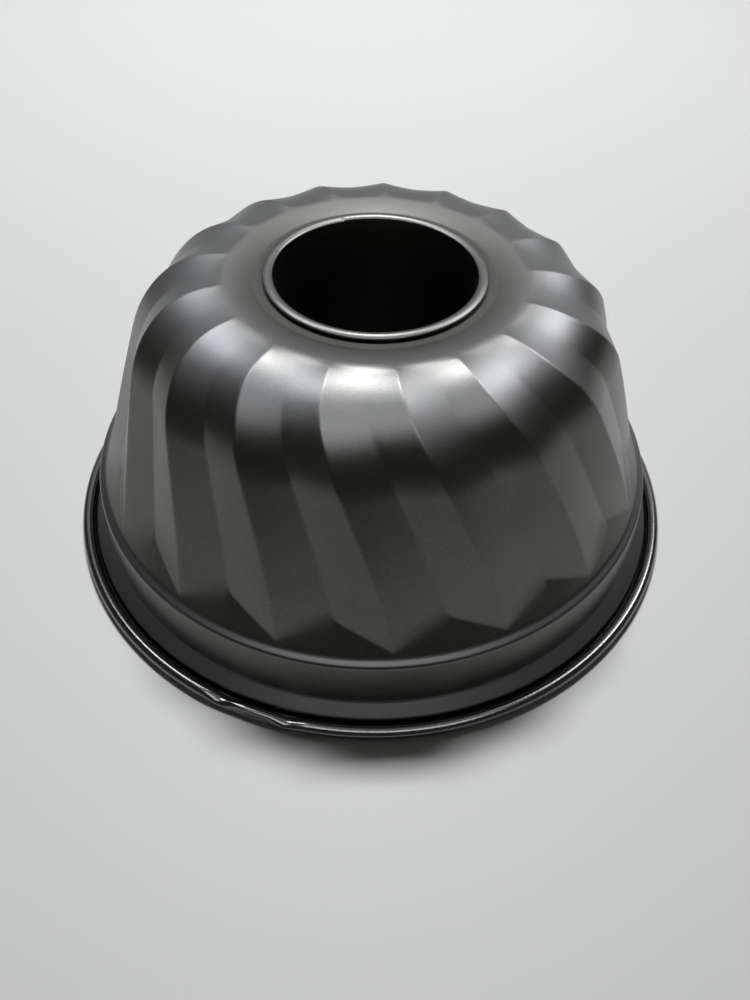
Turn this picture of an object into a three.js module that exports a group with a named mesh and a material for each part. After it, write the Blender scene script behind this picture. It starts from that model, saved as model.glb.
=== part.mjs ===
import * as THREE from 'three';

// A fluted tube pan standing upside down on its rim, in millimetres and degrees, +Z up.
// The origin is on the table under the middle of the tube, and -Y is the front.

// Sheet, and the gap left between pieces that are folded together
const shellSheet = 0.6;
const tubeSheet = 0.5;
const foldGap = 0.3;

// Rolled rim, the wire in it, and the dent where the wire's two ends leave a gap
const rimRadius = 112;
const wireDiameter = 2.4;
const curlTurn = 280;
const gutterWidth = 1.2;
const footBend = 1.2;
const wireGapAzimuth = -109.25;
const wireGapTurn = 18.5;
const dentDepth = 0.9;
const dentSpread = 200;

// Collar, from its flared foot up to the ledge that the flutes end on
const bandFootHeight = 4;
const bandHeight = 2.9;
const bandFlare = 4.5;
const collarHeight = 17.7;
const collarFlare = 1.1;
const ledgeRise = 1.3;
const ledgeWidth = 2.5;
const ledgeRound = 0.7;

// Flutes: sharp ridges and V-shaped valleys, each valley running out on a triangular ramp
const fluteCount = 17;
const fluteDepth = 2.7;
const fluteTwist = 18.7;
const twistPower = 1.46;
const twistStartRadius = 63;
const fluteStartRadius = 46.5;
const growthPower = 0.65;
const ridgeFootAzimuth = -1.2;
const valleyPlace = 0.53;
const scoopAfterRidge = 0.4;
const scoopBeforeRidge = 0.1;
const wallLean = 19.2;
const rampLean = 36;
const rampToe = 2.35;

// Crown: a flat deck round the ring, then a shallow rise to the crest
const crestHeight = 96.2;
const crestRadius = 50;
const crownPower = 1.4;
const deckWidth = 2.7;
const deckFall = 0.16;

// Centre tube, with a flattened fold over the shell's lip, and a lapped seam down its length
const ringRadius = 32.4;
const ringTop = 96.6;
const foldHalfWidth = 1.7;
const foldHalfHeight = 0.85;
const lipDrop = 0.1;
const foldEnd = -50;
const tubeFootRadius = 25;
const tubeFootHeight = 6;
const seamAzimuth = 110;
const seamStep = 0.5;
const seamFade = 40;
const seamEdge = 0.5;

// How finely the curved surfaces are divided
const columnsPerFlute = 4;
const crownSteps = 3;
const shoulderSteps = 5;
const wallSteps = 3;
const bendSteps = 2;
const curlSteps = 8;
const foldSteps = 7;
const tubeColumns = 48;
const wireSteps = 90;
const wireArcPoints = 4;

const radians = THREE.MathUtils.degToRad;
const { clamp, lerp } = THREE.MathUtils;
const flutePitch = 360 / fluteCount;

// A unit vector in a section's plane: x is the radius and y is the height.
function direction(degrees) {
  return new THREE.Vector2(Math.cos(radians(degrees)), Math.sin(radians(degrees)));
}

function polar(centre, radius, degrees) {
  return direction(degrees).multiplyScalar(radius).add(centre);
}

// Rolled rim
const curlInside = wireDiameter / 2 + foldGap;
const curlOutside = curlInside + shellSheet;
const curlCentre = new THREE.Vector2(rimRadius - curlOutside, curlOutside);

// Collar corners, on the side that shows
const bandFoot = new THREE.Vector2(curlCentre.x - curlOutside - gutterWidth, bandFootHeight);
const bandTop = new THREE.Vector2(bandFoot.x - bandFlare, bandFoot.y + bandHeight);
const collarTop = new THREE.Vector2(bandTop.x - collarFlare, bandTop.y + collarHeight);
const rampBase = new THREE.Vector2(collarTop.x - ledgeWidth, collarTop.y + ledgeRise);

// Ridge line: a straight wall from its foot on the ramp, then one arc over to the crest
const rampUp = direction(90 + rampLean);
const wallUp = direction(90 + wallLean);
const wallOut = direction(wallLean);
const ridgeFoot = rampBase.clone().addScaledVector(rampUp, rampToe);
const crest = new THREE.Vector2(crestRadius, crestHeight);
const shoulderRadius = ridgeFoot.clone().sub(crest).dot(wallOut) / (1 - wallOut.y);
const shoulderCentre = new THREE.Vector2(crestRadius, crestHeight - shoulderRadius);
const shoulderRun = shoulderRadius * radians(90 - wallLean);
const wallTop = polar(shoulderCentre, shoulderRadius, wallLean);
const wallRun = wallTop.clone().sub(ridgeFoot).dot(wallUp);
const twistStart = Math.acos(clamp((twistStartRadius - crestRadius) / shoulderRadius, 0, 1));
const twistRun = wallRun + shoulderRadius * (twistStart - radians(wallLean));

// Fold at the ring: the tube's edge goes over the shell's lip, which stands up from the deck
const foldCentre = new THREE.Vector2(ringRadius + foldHalfWidth, ringTop - foldHalfHeight);
const lipRadius = ringRadius + tubeSheet + foldGap + shellSheet;
const lipTop = foldCentre.y - lipDrop;
const deckHeight = foldPoint(0, foldEnd).y - foldGap;
const deckRadius = ringRadius + 2 * foldHalfWidth + deckWidth;

// A point of the fold's section, an ellipse, at an inset from its outer side.
function foldPoint(inset, degrees) {
  const half = new THREE.Vector2(foldHalfWidth - inset, foldHalfHeight - inset);
  return direction(degrees).multiply(half).add(foldCentre);
}

// How far the flutes have grown at a run of arc from the crest: none by the deck, all on the wall.
function fluteGrowth(run) {
  const start = fluteStartRadius - crestRadius;
  return clamp((run - start) / (shoulderRun - start), 0, 1) ** growthPower;
}

// Depth below the ridge, for a place across the flute from its ridge (0) to the next one (1).
function depthAt(across, growth) {
  const afterRidge = across < valleyPlace;
  const rise = afterRidge ? across / valleyPlace : (1 - across) / (1 - valleyPlace);
  const scoop = lerp(1, afterRidge ? scoopAfterRidge : scoopBeforeRidge, growth);
  return fluteDepth * growth * rise * (1 + scoop * (1 - rise));
}

// Angle that the flutes have turned by, at a run of arc up from the ridge's foot.
function twistAt(runUp) {
  return -fluteTwist * clamp(runUp / twistRun, 0, 1) ** twistPower;
}

// One stop on a section's visible side.
function stop(point, twist = 0) {
  return { point, twist };
}

function crownStops(across) {
  const stops = [
    stop(new THREE.Vector2(lipRadius, lipTop), -fluteTwist),
    stop(new THREE.Vector2(lipRadius, deckHeight), -fluteTwist),
  ];
  for (let step = 0; step < crownSteps; step += 1) {
    const share = step / crownSteps;
    const radius = lerp(deckRadius, crestRadius, share);
    const height = lerp(crestHeight, deckHeight - deckFall, (1 - share) ** crownPower);
    const depth = depthAt(across, fluteGrowth(radius - crestRadius));
    stops.push(stop(new THREE.Vector2(radius, height - depth), -fluteTwist));
  }
  return stops;
}

function shoulderStops(across) {
  const stops = [];
  for (let step = 0; step <= shoulderSteps; step += 1) {
    const angle = lerp(90, wallLean, step / shoulderSteps);
    const run = shoulderRadius * radians(90 - angle);
    const depth = depthAt(across, fluteGrowth(run));
    const point = polar(shoulderCentre, shoulderRadius - depth, angle);
    stops.push(stop(point, twistAt(wallRun + shoulderRun - run)));
  }
  return stops;
}

// The wall meets the ramp higher up where the flute is deeper, so the ramp is a triangle.
function wallStops(across) {
  const depth = depthAt(across, 1);
  const legRun = depth / Math.tan(radians(rampLean - wallLean));
  const stops = [];
  for (let step = 1; step <= wallSteps; step += 1) {
    const run = lerp(wallRun, legRun, step / wallSteps);
    const point = ridgeFoot.clone().addScaledVector(wallUp, run).addScaledVector(wallOut, -depth);
    stops.push(stop(point, twistAt(run)));
  }
  return stops;
}

function collarStops() {
  const ledgeSide = rampBase.clone().sub(collarTop).setLength(ledgeRound).add(collarTop);
  const wallSide = bandTop.clone().sub(collarTop).setLength(ledgeRound).add(collarTop);
  const bendCentre = new THREE.Vector2(bandFoot.x + footBend, shellSheet + footBend);
  const points = [rampBase, ledgeSide, wallSide, bandTop, bandFoot];
  for (let step = 0; step <= bendSteps; step += 1) {
    points.push(polar(bendCentre, footBend, lerp(180, 270, step / bendSteps)));
  }
  return points.map((point) => stop(point));
}

// The sheet's other side: each stop moved square to the line by the sheet's thickness.
function otherSide(stops, thickness) {
  return stops.map(({ point, twist }, index) => {
    const before = stops[Math.max(index - 1, 0)].point;
    const after = stops[Math.min(index + 1, stops.length - 1)].point;
    const normals = [[before, point], [point, after]]
      .map(([from, to]) => new THREE.Vector2(to.y - from.y, from.x - to.x).normalize())
      .filter((normal) => normal.length() > 0);
    const middle = normals.reduce((sum, normal) => sum.add(normal), new THREE.Vector2()).normalize();
    const reach = thickness / middle.dot(normals[normals.length - 1]);
    return stop(point.clone().addScaledVector(middle, reach), twist);
  });
}

// How far the dent moves a place on the roll inwards: its top goes in most, its underside stays.
function dentAt(azimuth, angle) {
  const offset = THREE.MathUtils.euclideanModulo(azimuth - wireGapAzimuth + 180, 360) - 180;
  const across = clamp(Math.abs(offset) / (wireGapTurn / 2), 0, 1);
  const around = Math.max(0, Math.cos((angle - 90) / dentSpread * Math.PI));
  return dentDepth * Math.cos(across * Math.PI / 2) ** 2 * around;
}

function curlStops(radius, azimuth) {
  const stops = [];
  for (let step = 0; step <= curlSteps; step += 1) {
    const angle = -90 + curlTurn * step / curlSteps;
    const point = polar(curlCentre, radius, angle);
    point.x -= dentAt(azimuth, angle);
    stops.push(stop(point));
  }
  return stops;
}

// One closed section of the shell: down the visible side, round the roll and back up inside.
function shellSection(azimuth, across) {
  const visible = [
    ...crownStops(across), ...shoulderStops(across), ...wallStops(across), ...collarStops(),
  ];
  const rollInside = curlStops(curlInside, azimuth);
  const rollOutside = curlStops(curlOutside, azimuth);
  const inner = otherSide([...visible, rollInside[0]], shellSheet).slice(0, -1);
  return [...visible, ...rollInside, ...rollOutside.reverse(), ...inner.reverse()]
    .map(({ point, twist }) => ({ point, azimuth: azimuth + twist }));
}

// Joins closed sections, in order round the axis, into one closed surface.
function ringGeometry(sections) {
  const rows = sections[0].length;
  const positions = [];
  const triangles = [];
  sections.forEach((section, column) => {
    const next = (column + 1) % sections.length;
    section.forEach(({ point, azimuth }, row) => {
      const turn = radians(azimuth);
      positions.push(point.x * Math.cos(turn), point.x * Math.sin(turn), point.y);
      const below = (row + 1) % rows;
      const [a, b] = [column * rows + row, column * rows + below];
      const [c, d] = [next * rows + below, next * rows + row];
      triangles.push(a, b, c, a, c, d);
    });
  });
  const geometry = new THREE.BufferGeometry();
  geometry.setAttribute('position', new THREE.Float32BufferAttribute(positions, 3));
  geometry.setIndex(triangles);
  geometry.computeVertexNormals();
  return geometry;
}

function shellGeometry() {
  const sections = [];
  for (let column = 0; column < fluteCount * columnsPerFlute; column += 1) {
    const half = (column % columnsPerFlute) / (columnsPerFlute / 2);
    const across = half <= 1 ? half * valleyPlace : lerp(valleyPlace, 1, half - 1);
    const flute = Math.floor(column / columnsPerFlute);
    sections.push(shellSection(ridgeFootAzimuth + (flute + across) * flutePitch, across));
  }
  return ringGeometry(sections);
}

// The lap moves the strip's leading edge inwards by one step, which fades away round the tube.
function lapAt(turnFromSeam, angle) {
  const fade = clamp(1 - turnFromSeam / seamFade, 0, 1);
  const around = clamp(-Math.cos(radians(angle)), 0, 1);
  return seamStep * fade * around;
}

function tubeSide(inset, turnFromSeam) {
  const wallAngle = 180;
  const footRadius = tubeFootRadius + inset - lapAt(turnFromSeam, wallAngle);
  const foot = new THREE.Vector2(footRadius, tubeFootHeight);
  const points = [foot];
  for (let step = 0; step <= foldSteps; step += 1) {
    const angle = lerp(wallAngle, foldEnd, step / foldSteps);
    const point = foldPoint(inset, angle);
    point.x -= lapAt(turnFromSeam, angle);
    points.push(point);
  }
  return points;
}

// The last column stands just short of the seam, so the lap shows as a step.
function tubeGeometry() {
  const sections = [];
  for (let column = 0; column < tubeColumns; column += 1) {
    const turn = column / (tubeColumns - 1) * (360 - seamEdge);
    const bore = tubeSide(0, turn);
    const back = tubeSide(tubeSheet, turn);
    const azimuth = seamAzimuth + turn;
    sections.push([...bore, ...back.reverse()].map((point) => ({ point, azimuth })));
  }
  return ringGeometry(sections);
}

// The wire's centre line, an open ring with its gap at the dent.
class WireLine extends THREE.Curve {
  getPoint(share, target = new THREE.Vector3()) {
    const turn = wireGapTurn / 2 + share * (360 - wireGapTurn);
    const azimuth = radians(wireGapAzimuth + turn);
    return target.set(curlCentre.x * Math.cos(azimuth), curlCentre.x * Math.sin(azimuth), curlCentre.y);
  }
}

function wireGeometry() {
  const section = new THREE.Shape().absarc(0, 0, wireDiameter / 2, 0, 2 * Math.PI);
  return new THREE.ExtrudeGeometry(section, {
    steps: wireSteps,
    curveSegments: wireArcPoints,
    extrudePath: new WireLine(),
  });
}

const coatedSteel = { color: 0x3a3b3a, roughness: 0.42, metalness: 0.7 };
const bareSteel = { color: 0x9a9b9c, roughness: 0.35, metalness: 1 };

function piece(name, geometry, finish) {
  const mesh = new THREE.Mesh(geometry, new THREE.MeshStandardMaterial(finish));
  mesh.name = name;
  return mesh;
}

const pan = new THREE.Group();
pan.name = 'fluted_tube_pan';
pan.add(
  piece('fluted_shell', shellGeometry(), coatedSteel),
  piece('centre_tube', tubeGeometry(), coatedSteel),
  piece('rim_wire', wireGeometry(), bareSteel),
);

export default pan;
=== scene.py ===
"""Looks of a fluted tube pan that stands upside down on its rim.

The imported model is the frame. The pressed shell, the folded centre tube and the rim wire are worked out
again as fine surfaces in that frame, dressed in their finishes, and shown on a pale table in soft light.
"""

import logging
from dataclasses import dataclass, field
from enum import Enum
from typing import Any

import bpy
import numpy as np
from mathutils import Matrix, Vector


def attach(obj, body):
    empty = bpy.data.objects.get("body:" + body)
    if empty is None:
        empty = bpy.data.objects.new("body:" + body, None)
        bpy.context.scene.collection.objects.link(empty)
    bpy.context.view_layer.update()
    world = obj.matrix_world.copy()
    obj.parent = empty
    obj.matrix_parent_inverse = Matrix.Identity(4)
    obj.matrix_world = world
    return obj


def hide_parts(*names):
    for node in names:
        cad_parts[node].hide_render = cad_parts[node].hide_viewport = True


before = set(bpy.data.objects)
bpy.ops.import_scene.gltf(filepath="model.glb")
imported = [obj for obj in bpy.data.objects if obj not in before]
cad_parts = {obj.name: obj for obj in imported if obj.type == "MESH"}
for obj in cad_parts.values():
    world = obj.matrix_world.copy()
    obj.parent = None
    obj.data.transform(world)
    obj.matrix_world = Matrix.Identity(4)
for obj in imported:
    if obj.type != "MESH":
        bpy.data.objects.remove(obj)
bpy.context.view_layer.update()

BODY = "root"
FULL_TURN = 360.0
NOISE_MIDDLE = 0.5
FACING_UP = "facing_up"

log = logging.getLogger("fluted_tube_pan")

Array = np.ndarray
Colour = tuple[float, float, float]


class Slot(Enum):
    """Material slots of the record."""

    SHELL = "shell_coating"
    TUBE = "tube_coating"
    WIRE = "wire_steel"


class Reach(Enum):
    """What a lamp lights, as the table's state in the lamp's light group."""

    PAN = "EXCLUDE"
    TABLE = "INCLUDE"


class Node(Enum):
    """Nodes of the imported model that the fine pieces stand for."""

    SHELL = "fluted_shell"
    TUBE = "centre_tube"
    WIRE = "rim_wire"


def worked_out() -> Any:
    """A dataclass field that __post_init__ works out."""
    return field(init=False, repr=False)


def direction(degrees: Array | float) -> Array:
    """Unit vectors in a section's plane: (radius, height) = (cos a, sin a).

    Args:
        degrees: Angles above the outward direction.

    Returns:
        An array with one more axis, of length 2.
    """
    angle = np.radians(np.asarray(degrees, dtype=float))
    return np.stack([np.cos(angle), np.sin(angle)], axis=-1)


def soft_floor(value: Array | float, ease: float) -> Array | float:
    """A smooth stand-in for max(value, 0), which is (value + sqrt(value^2 + ease^2)) / 2.

    Args:
        value: Numbers to keep above zero.
        ease: Width of the bend, in the unit of value.

    Returns:
        Numbers of the same shape, all above zero.
    """
    return 0.5 * (value + np.sqrt(value * value + ease * ease))


def smooth_step(value: Array | float) -> Array | float:
    """The cubic 3 t^2 - 2 t^3 of a share t, kept between 0 and 1."""
    share = np.clip(value, 0.0, 1.0)
    return share * share * (3.0 - 2.0 * share)


def blend(start: Array, end: Array, steps: int) -> Array:
    """Points on straight lines from start to end, both ends included.

    Args:
        start: Points, (columns, 2).
        end: Points, (columns, 2).
        steps: How many rows to make.

    Returns:
        Points, (steps, columns, 2).
    """
    share = np.linspace(0.0, 1.0, steps)[:, None, None]
    return start + share * (end - start)


def rounded(before: Array, corner: Array, after: Array, reach: Array | float, steps: int) -> Array:
    """Rounds a section's corner c with the curve (1-t)^2 a + 2 t (1-t) c + t^2 b.

    The curve starts at a, a reach before the corner, and ends at b, a reach after it. The reach is kept
    to under half of each straight stretch.

    Args:
        before: Points on the stretch into the corner, (columns, 2).
        corner: The corner, (columns, 2).
        after: Points on the stretch out of it, (columns, 2).
        reach: How far from the corner the curve starts, one number or one for each column.
        steps: How many rows to make.

    Returns:
        Points, (steps, columns, 2).
    """
    longest = 0.48
    shortest_leg = 1e-9
    ends = []
    for other in (before, after):
        leg = other - corner
        length = np.linalg.norm(leg, axis=-1)
        share = np.minimum(reach / np.maximum(length, shortest_leg), longest)
        ends.append(corner + share[..., None] * leg)
    t = np.linspace(0.0, 1.0, steps)[:, None, None]
    return (1 - t) ** 2 * ends[0] + 2 * t * (1 - t) * corner + t ** 2 * ends[1]


def around_axis(section: Array, azimuth: Array) -> Array:
    """Turns section points to their azimuth a: (r cos a, r sin a, z).

    Args:
        section: Points (radius, height), (rows, columns, 2).
        azimuth: Degrees round the axis, in a shape that fits (rows, columns).

    Returns:
        Points, (rows, columns, 3).
    """
    angle = np.radians(azimuth)
    radius = section[..., 0]
    return np.stack([radius * np.cos(angle), radius * np.sin(angle), section[..., 1]], axis=-1)


def grid_normals(grid: Array) -> Array:
    """Unit normals of a grid that wraps along its columns, from the cross product of its two slopes.

    Args:
        grid: Points, (rows, columns, 3).

    Returns:
        Normals, (rows, columns, 3), outwards where rows run down the outside and columns run
        anticlockwise.
    """
    along = np.gradient(grid, axis=0)
    across = np.roll(grid, -1, axis=1) - np.roll(grid, 1, axis=1)
    normal = np.cross(along, across)
    return normal / np.linalg.norm(normal, axis=-1, keepdims=True)


def grid_object(name: str, grid: Array, closed: bool) -> bpy.types.Object:
    """Makes a closed object from a grid of points whose columns wrap round.

    Each face joins points (i, j), (i+1, j), (i+1, j+1) and (i, j+1).

    Args:
        name: The piece's name.
        grid: Points, (rows, columns, 3).
        closed: True where the rows wrap round too, False where each end row is closed by one flat face.

    Returns:
        The linked object, with smooth faces and sharp sheet edges.
    """
    sharp_angle = np.radians(50.0)
    rows, columns = grid.shape[:2]
    index = np.arange(rows * columns).reshape(rows, columns)
    upper = index if closed else index[:-1]
    lower = np.roll(index, -1, axis=0) if closed else index[1:]
    corners = [upper, lower, np.roll(lower, -1, axis=1), np.roll(upper, -1, axis=1)]
    quads = np.stack(corners, axis=-1).reshape(-1, 4)
    ends = [] if closed else [index[0], index[-1][::-1]]
    loops = np.concatenate([quads.ravel(), *ends])
    starts = np.arange(0, quads.size, 4)
    starts = np.concatenate([starts, quads.size + columns * np.arange(len(ends), dtype=int)])
    mesh = bpy.data.meshes.new(name)
    mesh.vertices.add(rows * columns)
    mesh.vertices.foreach_set("co", grid.astype(np.float32).ravel())
    mesh.loops.add(len(loops))
    mesh.loops.foreach_set("vertex_index", loops.astype(np.int32))
    mesh.polygons.add(len(starts))
    mesh.polygons.foreach_set("loop_start", starts.astype(np.int32))
    facing = mesh.attributes.new(FACING_UP, "FLOAT", "POINT")
    facing.data.foreach_set("value", grid_normals(grid)[..., 2].astype(np.float32).ravel())
    mesh.update(calc_edges=True)
    mesh.validate()
    mesh.shade_smooth()
    mesh.set_sharp_from_angle(angle=sharp_angle)
    piece = bpy.data.objects.new(name, mesh)
    bpy.context.scene.collection.objects.link(piece)
    return piece


class Signal:
    """One output of a node graph, with arithmetic that adds Math nodes."""

    def __init__(self, graph: "Graph", socket: bpy.types.NodeSocket) -> None:
        """Wraps a socket of a graph."""
        self.graph = graph
        self.socket = socket

    def math(self, operation: str, *values: "Signal | float") -> "Signal":
        """Adds one Math node.

        Args:
            operation: The node's operation.
            values: Its operands, in order.

        Returns:
            The node's result.
        """
        return self.graph.node("ShaderNodeMath", {"operation": operation}, dict(enumerate(values)))

    def __add__(self, other: "Signal | float") -> "Signal":
        """self + other."""
        return self.math("ADD", self, other)

    def __radd__(self, other: float) -> "Signal":
        """other + self."""
        return self.math("ADD", other, self)

    def __sub__(self, other: "Signal | float") -> "Signal":
        """self - other."""
        return self.math("SUBTRACT", self, other)

    def __rsub__(self, other: float) -> "Signal":
        """other - self."""
        return self.math("SUBTRACT", other, self)

    def __mul__(self, other: "Signal | float") -> "Signal":
        """self * other."""
        return self.math("MULTIPLY", self, other)

    def over(self, low: float, high: float) -> "Signal":
        """The smooth share of the way from low to high.

        Args:
            low: Where the share is 0.
            high: Where the share is 1.

        Returns:
            A share between 0 and 1.
        """
        settings = {"interpolation_type": "SMOOTHSTEP"}
        return self.graph.node("ShaderNodeMapRange", settings, {"Value": self, 1: low, 2: high})


class Graph:
    """A material's node graph, with its Principled shader and its output."""

    def __init__(self, name: str) -> None:
        """Makes a new material.

        Args:
            name: The material's name.
        """
        self.material = bpy.data.materials.new(name)
        self.material.use_nodes = True
        self.tree = self.material.node_tree
        self.shader = self.tree.nodes["Principled BSDF"]

    def node(
        self, kind: str, settings: dict[str, Any], inputs: dict[Any, Any], output: int = 0
    ) -> Signal:
        """Adds a node, sets it up, and feeds its sockets.

        Args:
            kind: The node's type.
            settings: Its own properties, set first.
            inputs: A number, a tuple or a Signal for each socket, by the socket's name or place.
            output: The place of the output to return.

        Returns:
            That output.
        """
        made = self.tree.nodes.new(kind)
        for key, value in settings.items():
            setattr(made, key, value)
        for key, value in inputs.items():
            self.feed(made.inputs[key], value)
        return Signal(self, made.outputs[output])

    def feed(self, socket: bpy.types.NodeSocket, value: Any) -> None:
        """Links a Signal to a socket, or sets a constant on it.

        Args:
            socket: The socket to feed.
            value: A Signal, or a constant that the socket takes.
        """
        if isinstance(value, Signal):
            self.tree.links.new(value.socket, socket)
        else:
            socket.default_value = value

    def place(self) -> Signal:
        """The Object coordinates, in metres."""
        return self.node("ShaderNodeTexCoord", {}, {}, output=3)

    def radius(self) -> Signal:
        """The distance from the pan's axis, in metres: the length of (x, y, 0).

        Returns:
            The distance.
        """
        level = (1.0, 1.0, 0.0)
        kind = "ShaderNodeVectorMath"
        flat = self.node(kind, {"operation": "MULTIPLY"}, {0: self.place(), 1: level})
        return self.node(kind, {"operation": "LENGTH"}, {0: flat}, output=1)

    def facing_up(self) -> Signal:
        """How far the surface faces up, from -1 to 1, which each piece's points carry."""
        return self.node("ShaderNodeAttribute", {"attribute_name": FACING_UP}, {}, output=2)

    def noise(self, size: float, detail: float = 2.0) -> Signal:
        """Noise with values about 0.5.

        Args:
            size: How large its spots are, in metres.
            detail: How many finer layers it has.

        Returns:
            The noise's value.
        """
        inputs = {"Vector": self.place(), "Scale": 1.0 / size, "Detail": detail}
        return self.node("ShaderNodeTexNoise", {}, inputs)

    def flecks(self, size: float) -> Signal:
        """One random number for each grain.

        Args:
            size: How large a grain is, in metres.

        Returns:
            A number between 0 and 1.
        """
        inputs = {"Vector": self.place(), "Scale": 1.0 / size}
        colour = self.node("ShaderNodeTexVoronoi", {}, inputs, output=1)
        return self.node("ShaderNodeSeparateColor", {}, {0: colour})

    def mixed(self, factor: Signal, start: Signal | Colour, end: Colour) -> Signal:
        """Mixes two colours by a factor.

        Args:
            factor: The share of the second colour.
            start: The first colour, or a Signal that carries one.
            end: The second colour.

        Returns:
            The mixed colour.
        """
        first = start if isinstance(start, Signal) else (*start, 1.0)
        inputs = {0: factor, 6: first, 7: (*end, 1.0)}
        return self.node("ShaderNodeMix", {"data_type": "RGBA"}, inputs, output=2)

    def bump(self, height: Signal, strength: float, depth: float) -> Signal:
        """A Bump normal from a height signal.

        Args:
            height: The height, about 0 to 1.
            strength: How strongly it counts.
            depth: How deep a height of 1 is, in metres.

        Returns:
            The normal.
        """
        inputs = {"Height": height, "Strength": strength, "Distance": depth}
        return self.node("ShaderNodeBump", {}, inputs)

    def shade(self, **sockets: Any) -> bpy.types.Material:
        """Feeds the Principled shader, with underscores for the spaces of its sockets' names.

        Args:
            sockets: A constant or a Signal for each socket.

        Returns:
            The finished material.
        """
        for name, value in sockets.items():
            self.feed(self.shader.inputs[name.replace("_", " ")], value)
        return self.material


@dataclass(frozen=True)
class SatinCoating:
    """A dark metallic non-stick coating, baked on sheet.

    Faces that look up get a painted sheen, a brighter tone that stands in for their highlights, and a
    rougher face, out to where the rolled rim begins and in to a recess about the axis. The roll has the
    painted sheen's tone and a smoother face.
    """

    name: str
    tone: Colour = (0.126, 0.126, 0.117)
    dark_tone: Colour = (0.111, 0.111, 0.103)
    # The up-facing tone is a brighter tone for upward faces and the roll, a painted highlight.
    painted_sheen_tone: Colour = (0.184, 0.186, 0.188)
    fleck_tone: Colour = (0.26, 0.26, 0.255)
    fleck_size: float = 0.0003
    fleck_from: float = 0.85
    fleck_share: float = 0.25
    cloud_size: float = 0.025
    cloud_from: float = 0.35
    cloud_to: float = 0.75
    cloud_facing: float = 0.1
    cloud_roughness: float = 0.05
    grain_size: float = 0.00045
    grain_roughness: float = 0.06
    grain_strength: float = 0.7
    grain_depth: float = 0.00003
    painted_sheen_from: float = 0.6
    painted_sheen_to: float = 0.86
    recess_radius: float = 0.033
    proud_radius: float = 0.055
    roughness: float = 0.30
    upward_roughness: float = 0.11
    roll_from: float = 0.1068
    roll_to: float = 0.1076
    roll_polish: float = 0.13
    metal: float = 1.0

    def make(self) -> bpy.types.Material:
        """Builds the coating's material.

        Returns:
            A material with a clouded and flecked colour, a painted sheen on upward faces and on the roll,
            and a fine grain.
        """
        graph = Graph(self.name)
        cloud = graph.noise(self.cloud_size)
        grain = graph.noise(self.grain_size, detail=1.0)
        fleck = graph.flecks(self.fleck_size)
        facing = graph.facing_up() + (cloud - NOISE_MIDDLE) * self.cloud_facing
        proud = graph.radius().over(self.recess_radius, self.proud_radius)
        on_roll = graph.radius().over(self.roll_from, self.roll_to)
        # Painted sheen: upward faces, away from the deck about the axis and off the roll, are brightened
        # to stand in for highlights, and made rougher.
        painted_sheen = facing.over(self.painted_sheen_from, self.painted_sheen_to) * proud * (1.0 - on_roll)
        clouded = cloud.over(self.cloud_from, self.cloud_to)
        toned = graph.mixed(clouded, self.tone, self.dark_tone)
        # The roll takes the same brighter tone, a painted highlight, besides its smoother face.
        coated = graph.mixed(painted_sheen + on_roll, toned, self.painted_sheen_tone)
        flecked = fleck.over(self.fleck_from, 1.0) * self.fleck_share
        even = self.roughness + painted_sheen * self.upward_roughness - on_roll * self.roll_polish
        uneven = even + (cloud - NOISE_MIDDLE) * self.cloud_roughness
        return graph.shade(
            Base_Color=graph.mixed(flecked, coated, self.fleck_tone),
            Metallic=self.metal,
            Roughness=uneven + (grain - NOISE_MIDDLE) * self.grain_roughness,
            Normal=graph.bump(grain, self.grain_strength, self.grain_depth),
        )


# The ring's top also gets the painted sheen, in a dimmer tone, from 0.030 m out from the axis.
TUBE_COATING = SatinCoating(
    "tube_satin",
    painted_sheen_tone=(0.155, 0.155, 0.152),
    upward_roughness=0.08,
    recess_radius=0.030,
    proud_radius=0.033,
)


@dataclass(frozen=True)
class DrawnSteel:
    """Plain steel wire, with fine lines from the drawing die."""

    name: str
    tone: Colour = (0.42, 0.42, 0.41)
    dull_tone: Colour = (0.30, 0.29, 0.28)
    cloud_size: float = 0.006
    cloud_from: float = 0.3
    cloud_to: float = 0.7
    line_size: float = 0.0003
    line_strength: float = 0.2
    line_depth: float = 0.00003
    roughness: float = 0.3
    cloud_roughness: float = 0.2
    metal: float = 1.0

    def make(self) -> bpy.types.Material:
        """Builds the wire's material.

        Returns:
            A material with clouded colour and a finely drawn surface.
        """
        graph = Graph(self.name)
        cloud = graph.noise(self.cloud_size)
        lines = graph.noise(self.line_size)
        clouded = cloud.over(self.cloud_from, self.cloud_to)
        return graph.shade(
            Base_Color=graph.mixed(clouded, self.tone, self.dull_tone),
            Metallic=self.metal,
            Roughness=self.roughness + cloud * self.cloud_roughness,
            Normal=graph.bump(lines, self.line_strength, self.line_depth),
        )


@dataclass(frozen=True)
class TableTop:
    """A plain pale table."""

    name: str
    tone: Colour = (0.685, 0.698, 0.696)
    shade_tone: Colour = (0.665, 0.678, 0.676)
    cloud_size: float = 0.4
    roughness: float = 0.55

    def make(self) -> bpy.types.Material:
        """Builds the table's material.

        Returns:
            A material with a faintly clouded colour.
        """
        graph = Graph(self.name)
        cloud = graph.noise(self.cloud_size)
        return graph.shade(
            Base_Color=graph.mixed(cloud, self.tone, self.shade_tone),
            Roughness=self.roughness,
        )


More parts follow.
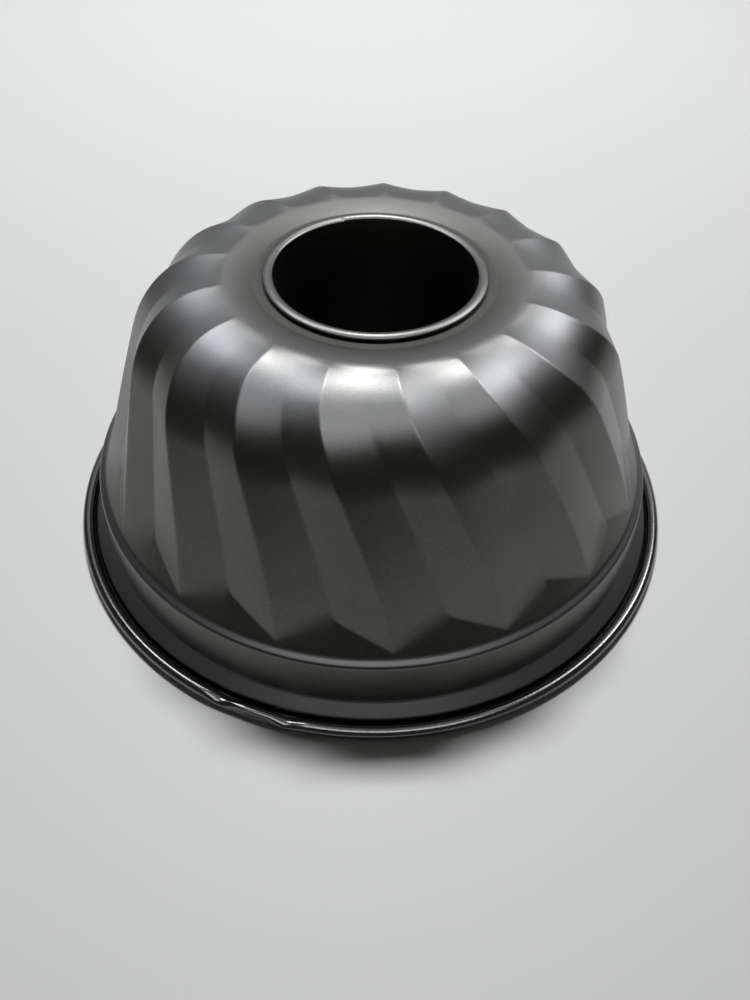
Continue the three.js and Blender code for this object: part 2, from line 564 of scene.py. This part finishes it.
@dataclass
class RimRoll:
    """The shell's edge rolled over a wire, pinched where the wire's two ends leave a gap."""

    rim_radius: float = 0.1119
    sheet: float = 0.0006
    wire_diameter: float = 0.0024
    wire_gap: float = 0.0003
    turn: float = 280.0
    gap_azimuth: float = -109.25
    gap_turn: float = 18.5
    pinch_offset: float = 5.75
    pinch_width: float = 1.9
    pinch_drop: float = 0.00125
    pinch_power: float = 1.5
    flat_lean: float = 17.0
    flat_foot: float = 0.0005
    flat_inset: float = 0.0001
    flat_onset: float = 1.6

    @property
    def inside(self) -> float:
        """Radius of the roll's inner side, which leaves a gap round the wire."""
        return self.wire_diameter / 2 + self.wire_gap

    @property
    def outside(self) -> float:
        """Radius of the roll's outer side."""
        return self.inside + self.sheet

    @property
    def centre(self) -> Array:
        """The wire's middle, as (radius, height)."""
        return np.array([self.rim_radius - self.outside, self.outside])

    def pinched(self, points: Array, azimuth: Array) -> Array:
        """Presses the roll down beside each wire end, and flattens its outer face between them.

        A pinch lowers a point by pinch_drop times exp(-(d / pinch_width)^2), where d is how far its
        azimuth is from a wire end, and times its share of the roll's height to the power pinch_power.
        Between the pinches the outer face is drawn in to a plane that leans by flat_lean.

        Args:
            points: The roll's side, (rows, columns, 2).
            azimuth: The columns' azimuths, (columns,).

        Returns:
            The pinched points.
        """
        offset = np.mod(azimuth - self.gap_azimuth + 180.0, FULL_TURN) - 180.0
        beside = (np.abs(offset) - self.pinch_offset) / self.pinch_width
        pinch = self.pinch_drop * np.exp(-beside * beside)
        between = smooth_step(self.flat_onset * (1.0 - np.abs(offset) / self.pinch_offset))
        radius, height = points[..., 0], points[..., 1]
        lift = np.clip(height / (2 * self.outside), 0.0, 1.0)
        face = self.rim_radius - self.flat_inset
        plane = face - np.tan(np.radians(self.flat_lean)) * np.abs(height - self.flat_foot)
        drawn_in = np.minimum(radius, plane)
        flattened = radius + between * (drawn_in - radius)
        return np.stack([flattened, height - pinch * lift ** self.pinch_power], axis=-1)

    def side(self, radius: float, azimuth: Array, steps: int) -> Array:
        """One side of the roll: an arc from its lowest point outwards, over the top and down again.

        Args:
            radius: The arc's radius.
            azimuth: The columns' azimuths, (columns,).
            steps: How many rows to make.

        Returns:
            Points, (steps, columns, 2).
        """
        angles = -90.0 + np.linspace(0.0, self.turn, steps)
        arc = self.centre + radius * direction(angles)
        points = np.repeat(arc[:, None, :], len(azimuth), axis=1)
        return self.pinched(points, azimuth)


@dataclass
class RingFold:
    """The flattened fold at the ring, where the tube's edge goes over the shell's lip."""

    ring_radius: float = 0.0324
    ring_top: float = 0.09658
    half_width: float = 0.0017
    half_height: float = 0.00085
    tube_sheet: float = 0.0005
    shell_sheet: float = 0.0006
    gap: float = 0.0003
    lip_drop: float = 0.0001
    pointedness: float = 1.2
    end_angle: float = -50.0

    @property
    def centre(self) -> Array:
        """The fold's middle, as (radius, height)."""
        return np.array([self.ring_radius + self.half_width, self.ring_top - self.half_height])

    @property
    def lip_radius(self) -> float:
        """Outer radius of the shell's lip inside the fold."""
        return self.ring_radius + self.tube_sheet + self.gap + self.shell_sheet

    @property
    def lip_top(self) -> float:
        """Height of the shell's lip."""
        return float(self.centre[1]) - self.lip_drop

    @property
    def outer_radius(self) -> float:
        """Radius of the ring over its outer side."""
        return self.ring_radius + 2 * self.half_width

    @property
    def deck_height(self) -> float:
        """Height of the shell's flat deck, just under the fold's edge."""
        return float(self.arc(0.0, self.end_angle)[1]) - self.gap

    def arc(self, inset: float, degrees: Array | float) -> Array:
        """Points on the fold's section, a pointed ellipse about its middle.

        Each part of the direction is raised to the power pointedness, with its sign kept.

        Args:
            inset: How far inside the fold's outer side.
            degrees: Angles above the outward direction.

        Returns:
            Points, with one more axis than degrees, of length 2.
        """
        half = np.array([self.half_width - inset, self.half_height - inset])
        way = direction(degrees)
        return self.centre + half * np.sign(way) * np.abs(way) ** self.pointedness


@dataclass
class FlutedShell:
    """The pressed shell: crown, twisted flutes, triangular ramps, ledge, collar and rolled rim."""

    roll: RimRoll
    fold: RingFold
    coating: SatinCoating
    gutter: float = 0.0012
    foot_bend: float = 0.0012
    band_foot_height: float = 0.004
    band_height: float = 0.0029
    band_flare: float = 0.0045
    collar_height: float = 0.0177
    collar_flare: float = 0.0011
    ledge_rise: float = 0.0013
    ledge_width: float = 0.0025
    flutes: int = 17
    flute_depth: float = 0.0027
    flute_twist: float = 18.7
    twist_power: float = 1.46
    twist_start_radius: float = 0.063
    flute_start_radius: float = 0.0465
    growth_power: float = 0.65
    ridge_foot_azimuth: float = -1.2
    valley_place: float = 0.53
    scoop_after: float = 0.4
    scoop_before: float = 0.1
    wall_lean: float = 19.2
    ramp_lean: float = 36.0
    ramp_toe: float = 0.00235
    crest_height: float = 0.0962
    crest_radius: float = 0.050
    deck_width: float = 0.0027
    deck_fall: float = 0.00016
    crown_power: float = 1.4
    ridge_softness: float = 0.012
    soft_leg: float = 0.0045
    crisp_leg: float = 0.0009
    columns_per_flute: int = 26
    name: str = "pressed_shell"
    band_foot: Array = worked_out()
    band_top: Array = worked_out()
    collar_top: Array = worked_out()
    ramp_base: Array = worked_out()
    bend_centre: Array = worked_out()
    wall_up: Array = worked_out()
    wall_out: Array = worked_out()
    ridge_foot: Array = worked_out()
    shoulder_centre: Array = worked_out()
    deck_radius: float = worked_out()
    shoulder_radius: float = worked_out()
    shoulder_run: float = worked_out()
    wall_run: float = worked_out()
    twist_run: float = worked_out()
    across: Array = worked_out()
    azimuth: Array = worked_out()

    def __post_init__(self) -> None:
        """Works out the section's corners, the ridge line, and the columns round the axis."""
        sheet = self.roll.sheet
        centre = self.roll.centre
        self.band_foot = np.array([centre[0] - self.roll.outside - self.gutter, self.band_foot_height])
        self.band_top = self.band_foot + np.array([-self.band_flare, self.band_height])
        self.collar_top = self.band_top + np.array([-self.collar_flare, self.collar_height])
        self.ramp_base = self.collar_top + np.array([-self.ledge_width, self.ledge_rise])
        self.bend_centre = np.array([self.band_foot[0] + self.foot_bend, sheet + self.foot_bend])
        self.wall_up = direction(90.0 + self.wall_lean)
        self.wall_out = direction(self.wall_lean)
        self.ridge_foot = self.ramp_base + self.ramp_toe * direction(90.0 + self.ramp_lean)
        self.deck_radius = self.fold.outer_radius + self.deck_width
        crest = np.array([self.crest_radius, self.crest_height])
        overhang = (self.ridge_foot - crest) @ self.wall_out
        self.shoulder_radius = overhang / (1.0 - self.wall_out[1])
        self.shoulder_centre = crest - np.array([0.0, self.shoulder_radius])
        self.shoulder_run = self.shoulder_radius * np.radians(90.0 - self.wall_lean)
        wall_top = self.shoulder_centre + self.shoulder_radius * self.wall_out
        self.wall_run = (wall_top - self.ridge_foot) @ self.wall_up
        start = np.arccos((self.twist_start_radius - self.crest_radius) / self.shoulder_radius)
        self.twist_run = self.wall_run + self.shoulder_radius * (start - np.radians(self.wall_lean))
        self.across, self.azimuth = self.columns()

    def columns(self) -> tuple[Array, Array]:
        """Columns round the axis, closer together at each ridge and valley.

        Over each half flute a share h becomes h - crowding sin(2 pi h) / (2 pi).

        Returns:
            Each column's place across its flute, from 0 to 1, and its azimuth at the ridges' feet.
        """
        crowding = 0.7
        half = np.arange(self.columns_per_flute) / (self.columns_per_flute / 2)
        share = np.mod(half, 1.0)
        eased = share - crowding * np.sin(2 * np.pi * share) / (2 * np.pi)
        valley = self.valley_place
        across = np.where(half < 1.0, eased * valley, valley + eased * (1.0 - valley))
        flute = np.arange(self.flutes)[:, None]
        azimuth = self.ridge_foot_azimuth + (flute + across) * FULL_TURN / self.flutes
        return np.tile(across, self.flutes), azimuth.ravel()

    def flute_form(self) -> tuple[Array, Array]:
        """The flute's depth across it, as two shares p and q with softened ridges and valleys.

        With x the rise from a ridge (0) to the valley (1), and k the side's scoop, p is x (2 - x) and q
        is (k - 1) x (1 - x), each averaged with a bell of width ridge_softness.

        Returns:
            p and q at the columns.
        """
        samples = 2048
        place = np.arange(samples) / samples
        after = place < self.valley_place
        rise = np.where(after, place / self.valley_place, (1.0 - place) / (1.0 - self.valley_place))
        scoop = np.where(after, self.scoop_after, self.scoop_before)
        waves = np.fft.fftfreq(samples, 1.0 / samples)
        bell = np.exp(-2.0 * (np.pi * waves * self.ridge_softness) ** 2)
        shares = []
        for form in (rise * (2.0 - rise), (scoop - 1.0) * rise * (1.0 - rise)):
            softened = np.real(np.fft.ifft(np.fft.fft(form) * bell))
            shares.append(np.interp(self.across, place, softened, period=1.0))
        return shares[0], shares[1]

    def depth(self, run: Array | float) -> Array:
        """Depth below the ridge line at a run of arc from the crest.

        With v the share of the way from the flutes' start to the wall, the growth g is v^growth_power,
        faded in over the first fade_in of v. The depth is flute_depth (g p + g^3 q), with p and q from
        flute_form.

        Args:
            run: Runs of arc, as one number or as (rows, 1).

        Returns:
            Depths, (columns,) or (rows, columns).
        """
        fade_in = 0.1
        start = self.flute_start_radius - self.crest_radius
        share = np.clip((run - start) / (self.shoulder_run - start), 0.0, 1.0)
        growth = share ** self.growth_power * smooth_step(share / fade_in)
        first, second = self.flute_form()
        return self.flute_depth * (growth * first + growth ** 3 * second)

    def twist(self, run_up: Array | float) -> Array | float:
        """Degrees that the flutes have turned by, at a run of arc up from the ridge's foot.

        Args:
            run_up: Runs of arc.

        Returns:
            -flute_twist times the eased share of the full run to the power twist_power.
        """
        ease = 0.12
        share = np.clip(run_up, 0.0, None) / self.twist_run
        eased = np.clip(1.0 - soft_floor(1.0 - share, ease), 0.0, 1.0)
        return -self.flute_twist * eased ** self.twist_power

    def crown(self) -> Array:
        """Lip, flat deck and the rise to the crest, where the flutes begin.

        With t the share of the way from the deck to the crest, the ridge has risen by the share
        1 - (1 - t)^crown_power.

        Returns:
            Points, (rows, columns, 2).
        """
        lip_steps = 4
        rise_steps = 24
        bend = 0.0005
        lip = self.fold.lip_radius
        deck = self.fold.deck_height
        deck_edge = deck - self.deck_fall
        ones = np.ones((len(self.azimuth), 1))
        lip_top = ones * np.array([lip, self.fold.lip_top])
        corner = ones * np.array([lip, deck])
        outer = ones * np.array([self.deck_radius, deck_edge])
        lip_bend = rounded(lip_top, corner, outer, bend, lip_steps)
        share = np.linspace(0.0, 1.0, rise_steps)[:-1, None]
        radius = self.deck_radius + share * (self.crest_radius - self.deck_radius)
        ridge = self.crest_height - (self.crest_height - deck_edge) * (1.0 - share) ** self.crown_power
        height = ridge - self.depth(radius - self.crest_radius)
        slope = np.stack([radius + 0.0 * height, height], axis=-1)
        return np.concatenate([lip_top[None], lip_bend, slope])

    def shoulder(self) -> tuple[Array, Array]:
        """The arc over the shoulder, lowered by the flutes' depth along its normal.

        Returns:
            Points, (rows, columns, 2), and their twist.
        """
        steps = 32
        angles = np.linspace(90.0, self.wall_lean, steps)[:, None]
        run = self.shoulder_radius * np.radians(90.0 - angles)
        reach = (self.shoulder_radius - self.depth(run))[..., None]
        points = self.shoulder_centre + reach * direction(angles)
        twist = self.twist(self.wall_run + self.shoulder_run - run)
        return points, twist + 0.0 * self.azimuth

    def wall(self) -> tuple[Array, Array]:
        """The straight wall and the ramp that ends it, which starts higher where the flute is deeper.

        Returns:
            Points, (rows, columns, 2), and their twist.
        """
        wall_steps = 14
        leg_steps = 8
        ramp_steps = 6
        crisp_width = 0.06
        ramp_left = 0.2
        depth = np.maximum(self.depth(self.shoulder_run), 0.0)
        leg_run = depth / np.tan(np.radians(self.ramp_lean - self.wall_lean))
        inset = depth[:, None] * self.wall_out
        top = self.ridge_foot + self.wall_run * self.wall_up - inset
        leg = self.ridge_foot + leg_run[:, None] * self.wall_up - inset
        base = np.ones_like(leg) * self.ramp_base
        crisp = smooth_step((self.across - self.valley_place) / crisp_width + 0.5)
        reach = self.soft_leg + crisp * (self.crisp_leg - self.soft_leg)
        bend = rounded(top, leg, base, reach, leg_steps)
        straight = blend(top, bend[0], wall_steps)[1:-1]
        ramp_end = base + ramp_left * (leg - base)
        ramp = blend(bend[-1], ramp_end, ramp_steps)[1:-1]
        points = np.concatenate([straight, bend, ramp])
        run_up = (points - self.ridge_foot) @ self.wall_up
        return points, self.twist(run_up)

    def collar(self) -> Array:
        """Ledge, collar, flared band and foot, with rounded bends.

        Returns:
            Points, (rows, columns, 2).
        """
        bend_steps = 6
        ramp_bend = 0.0009
        ledge_bend = 0.0010
        band_bend = 0.0005
        foot_round = 0.0006
        toe_share = 0.9
        ones = np.ones((len(self.azimuth), 1))
        foot_arc = np.linspace(180.0, 270.0, bend_steps)
        foot_end = self.bend_centre + self.foot_bend * direction(180.0)
        flange = np.array([self.roll.centre[0] - self.foot_bend, self.roll.sheet])
        ramp_side = self.ramp_base + self.ramp_toe * toe_share * direction(90.0 + self.ramp_lean)
        line = [ramp_side, self.ramp_base, self.collar_top, self.band_top, self.band_foot, foot_end]
        reaches = [ramp_bend, ledge_bend, band_bend, foot_round]
        rows = []
        for place, reach in enumerate(reaches, start=1):
            before, corner, after = (ones * point for point in line[place - 1:place + 2])
            rows.append(rounded(before, corner, after, reach, bend_steps))
        arc = self.bend_centre + self.foot_bend * direction(foot_arc)
        rows.append(ones * arc[:, None, :])
        rows.append((ones * flange)[None])
        return np.concatenate(rows)

    def grid(self) -> Array:
        """The whole closed sheet: the visible side, the roll, and back up the inner side.

        The inner side is every other row of the visible side, moved by the sheet's thickness against its
        normal.

        Returns:
            Points, (rows, columns, 3), in order round the closed section.
        """
        roll_steps = 22
        crown = self.crown()
        shoulder, shoulder_twist = self.shoulder()
        wall, wall_twist = self.wall()
        collar = self.collar()
        section = np.concatenate([crown, shoulder, wall, collar])
        crown_twist = np.full(crown.shape[:2], -self.flute_twist)
        collar_twist = np.zeros(collar.shape[:2])
        twist = np.concatenate([crown_twist, shoulder_twist, wall_twist, collar_twist])
        visible = around_axis(section, self.azimuth + twist)
        thinned = np.append(np.arange(0, len(visible) - 1, 2), len(visible) - 1)
        inner = (visible - self.roll.sheet * grid_normals(visible))[thinned[::-1]]
        roll_inside = self.roll.side(self.roll.inside, self.azimuth, roll_steps)
        roll_outside = self.roll.side(self.roll.outside, self.azimuth, roll_steps)[::-1]
        rolled = around_axis(np.concatenate([roll_inside, roll_outside]), self.azimuth)
        return np.concatenate([visible, rolled, inner])

    def build(self) -> bpy.types.Object:
        """Makes the shell and dresses it."""
        piece = grid_object(self.name, self.grid(), closed=True)
        return dressed(piece, self.coating.make(), Node.SHELL)


@dataclass
class CentreTube:
    """The conical centre tube, rolled from a strip with a lapped seam and folded over the shell's lip."""

    fold: RingFold
    coating: SatinCoating
    foot_radius: float = 0.025
    foot_height: float = 0.006
    seam_azimuth: float = 110.0
    seam_step: float = 0.0005
    seam_fade: float = 40.0
    seam_edge: float = 0.25
    columns: int = 240
    name: str = "folded_tube"

    def side(self, inset: float, turn: Array, steps: int) -> Array:
        """One side of the strip: a straight cone from the foot, then the fold's arc.

        The lap moves the bore inwards by seam_step at the seam, fading to none over seam_fade degrees.

        Args:
            inset: How far inside the bore's face this side lies.
            turn: Degrees from the seam to each column, (columns,).
            steps: How many rows the fold has.

        Returns:
            Points, (rows, columns, 2).
        """
        cone_steps = 8
        angles = np.linspace(180.0, self.fold.end_angle, steps)
        arc = self.fold.arc(inset, angles)
        foot = np.array([self.foot_radius + inset, self.foot_height])
        cone = foot + np.linspace(0.0, 1.0, cone_steps)[:-1, None] * (arc[0] - foot)
        line = np.concatenate([cone, arc])
        weight = np.concatenate([np.ones(len(cone)), np.clip(-np.cos(np.radians(angles)), 0.0, 1.0)])
        lap = self.seam_step * np.clip(1.0 - turn / self.seam_fade, 0.0, 1.0)
        points = np.repeat(line[:, None, :], len(turn), axis=1)
        points[..., 0] -= weight[:, None] * lap
        return points

    def build(self) -> bpy.types.Object:
        """Makes the tube and dresses it.

        Returns:
            The tube.
        """
        fold_steps = 26
        turn = np.linspace(0.0, FULL_TURN - self.seam_edge, self.columns)
        bore = self.side(0.0, turn, fold_steps)
        back = self.side(self.fold.tube_sheet, turn, fold_steps)[::-1]
        grid = around_axis(np.concatenate([bore, back]), self.seam_azimuth + turn)
        piece = grid_object(self.name, grid, closed=True)
        return dressed(piece, self.coating.make(), Node.TUBE)


@dataclass
class RimWire:
    """The open ring of wire in the rolled rim."""

    roll: RimRoll
    steel: DrawnSteel
    steps: int = 240
    sides: int = 16
    name: str = "rim_wire_ring"

    def build(self) -> bpy.types.Object:
        """Makes the wire, a circle carried along an arc of the rim, and dresses it.

        Returns:
            The wire.
        """
        half_gap = self.roll.gap_turn / 2
        turn = np.linspace(half_gap, FULL_TURN - half_gap, self.steps)[:, None]
        around = np.arange(self.sides) * -FULL_TURN / self.sides
        circle = self.roll.centre + self.roll.wire_diameter / 2 * direction(around)
        section = np.repeat(circle[None], self.steps, axis=0)
        grid = around_axis(section, self.roll.gap_azimuth + turn)
        piece = grid_object(self.name, grid, closed=False)
        return dressed(piece, self.steel.make(), Node.WIRE)


def dressed(
    piece: bpy.types.Object, finish: bpy.types.Material, node: Node
) -> bpy.types.Object:
    """Gives a piece its finish and its body, and hides the imported node that it stands for.

    Args:
        piece: The new piece.
        finish: Its material.
        node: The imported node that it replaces.

    Returns:
        The same piece.
    """
    piece.data.materials.append(finish)
    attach(piece, BODY)
    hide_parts(node.value)
    log.info("%s: %d faces, stands for %s", piece.name, len(piece.data.polygons), node.value)
    return piece


@dataclass(frozen=True)
class Softbox:
    """A soft lamp, placed by its bearing from the back, its elevation and its distance from its aim.

    Bearings and elevations are in degrees, and bearings grow towards the right.
    """

    name: str
    bearing: float
    elevation: float
    distance: float
    width: float
    height: float
    light: float
    spread: float = 180.0
    colour: Colour = (1.0, 1.0, 1.0)
    aim: tuple[float, float, float] = (0.0, 0.0, 0.08)
    reach: Reach = Reach.PAN

    def link(self, lamp: bpy.types.Object, table: bpy.types.Object) -> None:
        """Gives the lamp's light to the table alone, or to everything but the table.

        Args:
            lamp: The lamp.
            table: The table.
        """
        group = bpy.data.collections.new(self.name + "_reach")
        group.objects.link(table)
        group.collection_objects[0].light_linking.link_state = self.reach.value
        lamp.light_linking.receiver_collection = group

    def build(self, table: bpy.types.Object) -> bpy.types.Object:
        """Makes the lamp.

        Its energy gives the wanted light at its aim, in watts per square metre. A spread of 2 h gathers
        the light by tan h / (tan h - h).

        Args:
            table: The table, which the lamp either leaves out or keeps to.

        Returns:
            The lamp, which the camera doesn't see.
        """
        lamp = bpy.data.lights.new(self.name, "AREA")
        lamp.shape = "RECTANGLE"
        lamp.size = self.width
        lamp.size_y = self.height
        half_spread = np.radians(self.spread / 2)
        gathered = np.tan(half_spread) / (np.tan(half_spread) - half_spread)
        lamp.energy = self.light * np.pi * self.distance ** 2 / gathered
        lamp.color = self.colour
        lamp.spread = np.radians(self.spread)
        bearing = np.radians(self.bearing)
        elevation = np.radians(self.elevation)
        flat = np.cos(elevation)
        out = Vector((np.sin(bearing) * flat, np.cos(bearing) * flat, np.sin(elevation)))
        lamp_object = bpy.data.objects.new(self.name, lamp)
        lamp_object.location = Vector(self.aim) + self.distance * out
        lamp_object.rotation_euler = (-out).to_track_quat("-Z", "Y").to_euler()
        lamp_object.visible_camera = False
        self.link(lamp_object, table)
        bpy.context.scene.collection.objects.link(lamp_object)
        return lamp_object


@dataclass(frozen=True)
class PhotoCamera:
    """The photograph's camera: place in metres, angles in degrees, focal length for a 36 mm long side."""

    place: tuple[float, float, float] = (0.0, -0.2264, 0.2372)
    pitch: float = 47.682
    yaw: float = 0.372
    roll: float = 1.318
    lens: float = 29.33
    long_side: float = 36.0
    nearest: float = 0.01

    def build(self) -> bpy.types.Object:
        """Makes the camera and gives it to the scene.

        Returns:
            The camera.
        """
        data = bpy.data.cameras.new("photo_camera")
        data.sensor_fit = "AUTO"
        data.sensor_width = self.long_side
        data.lens = self.lens
        data.clip_start = self.nearest
        camera = bpy.data.objects.new("photo_camera", data)
        turn = Matrix.Rotation(-np.radians(self.yaw), 4, "Z")
        turn = turn @ Matrix.Rotation(np.radians(90.0 - self.pitch), 4, "X")
        turn = turn @ Matrix.Rotation(np.radians(self.roll), 4, "Z")
        camera.matrix_world = Matrix.Translation(self.place) @ turn
        bpy.context.scene.collection.objects.link(camera)
        bpy.context.scene.camera = camera
        return camera


@dataclass
class Studio:
    """The pale table, lamps for the pan and lamps for the table, a dark curtain and the room's light."""

    table_size: float = 2.8
    room_tone: Colour = (0.38, 0.385, 0.39)
    curtain_radius: float = 1.6
    curtain_height: float = 2.6
    curtain_from: float = 55.0
    curtain_to: float = 312.0
    curtain_tone: Colour = (0.25, 0.235, 0.22)
    lamps: tuple[Softbox, ...] = (
        Softbox(
            "back_softbox", bearing=-1.0, elevation=63.6, distance=1.6,
            width=0.18, height=0.16, light=1.5, colour=(1.0, 1.0, 0.95),
        ),
        Softbox(
            "left_softbox", bearing=-54.0, elevation=57.0, distance=0.4,
            width=0.14, height=0.14, light=1.6, spread=48.0, colour=(0.92, 0.94, 1.0),
        ),
        Softbox(
            "right_softbox", bearing=55.0, elevation=48.0, distance=0.45,
            width=0.22, height=0.24, light=3.05, spread=48.0, colour=(0.98, 0.98, 1.0),
        ),
        Softbox(
            "table_key", bearing=-3.0, elevation=62.8, distance=1.6,
            width=0.5, height=0.16, light=3.2, reach=Reach.TABLE,
        ),
        Softbox(
            "front_softbox", bearing=180.0, elevation=68.5, distance=1.2,
            width=1.1, height=0.5, light=0.7,
        ),
        Softbox(
            "table_softbox", bearing=0.0, elevation=89.0, distance=1.3,
            width=0.9, height=0.6, light=1.2, spread=80.0, aim=(0.0, 0.8, 0.0), reach=Reach.TABLE,
        ),
    )

    def table(self) -> bpy.types.Object:
        """Makes the table top, four square faces in its plane.

        Returns:
            The table.
        """
        half = self.table_size / 2
        line = np.linspace(-half, half, 3)
        x, y = np.meshgrid(line, line)
        points = np.stack([x, y, np.zeros_like(x)], axis=-1).reshape(-1, 3)
        corners = np.array([0, 1, 4, 3])
        faces = corners + np.array([0, 1, 3, 4])[:, None]
        mesh = bpy.data.meshes.new("table_top")
        mesh.from_pydata(points.tolist(), [], faces.tolist())
        mesh.materials.append(TableTop("table_paint").make())
        table = bpy.data.objects.new("table_top", mesh)
        bpy.context.scene.collection.objects.link(table)
        return table

    def curtain(self) -> bpy.types.Object:
        """Hangs a dark curtain round the front and sides, which keeps bright walls out of the coating.

        The curtain is an upright sheet on an arc about the pan, open at the back. The camera doesn't see
        it.

        Returns:
            The curtain.
        """
        steps = 72
        bearing = np.radians(np.linspace(self.curtain_from, self.curtain_to, steps))
        foot = self.curtain_radius * np.stack([np.sin(bearing), np.cos(bearing), 0.0 * bearing], axis=-1)
        points = np.concatenate([foot, foot + np.array([0.0, 0.0, self.curtain_height])])
        start = np.arange(steps - 1)
        faces = np.stack([start, start + 1, start + 1 + steps, start + steps], axis=-1)
        mesh = bpy.data.meshes.new("dark_curtain")
        mesh.from_pydata(points.tolist(), [], faces.tolist())
        cloth = Graph("curtain_cloth").shade(Base_Color=(*self.curtain_tone, 1.0), Roughness=1.0)
        mesh.materials.append(cloth)
        curtain = bpy.data.objects.new("dark_curtain", mesh)
        curtain.visible_camera = False
        bpy.context.scene.collection.objects.link(curtain)
        return curtain

    def build(self) -> None:
        """Sets up the table, curtain, lamps, room light, view and camera.

        The room's light is kept from diffuse surfaces, so the coating mirrors it and the table's shadow
        stays dark.
        """
        table = self.table()
        self.curtain()
        for lamp in self.lamps:
            lamp.build(table)
        world = bpy.data.worlds.new("room_light")
        world.use_nodes = True
        world.node_tree.nodes["Background"].inputs["Color"].default_value = (*self.room_tone, 1.0)
        world.cycles_visibility.diffuse = False
        bpy.context.scene.world = world
        bpy.context.scene.view_settings.view_transform = "Standard"
        PhotoCamera().build()


def main() -> None:
    """Builds the pan piece by piece, then the studio round it."""
    logging.basicConfig(level=logging.INFO, format="%(name)s: %(message)s")
    Studio().build()
    roll = RimRoll()
    fold = RingFold()
    FlutedShell(roll, fold, SatinCoating("shell_satin")).build()
    CentreTube(fold, TUBE_COATING).build()
    RimWire(roll, DrawnSteel("drawn_wire")).build()


if __name__ == "__main__":
    main()
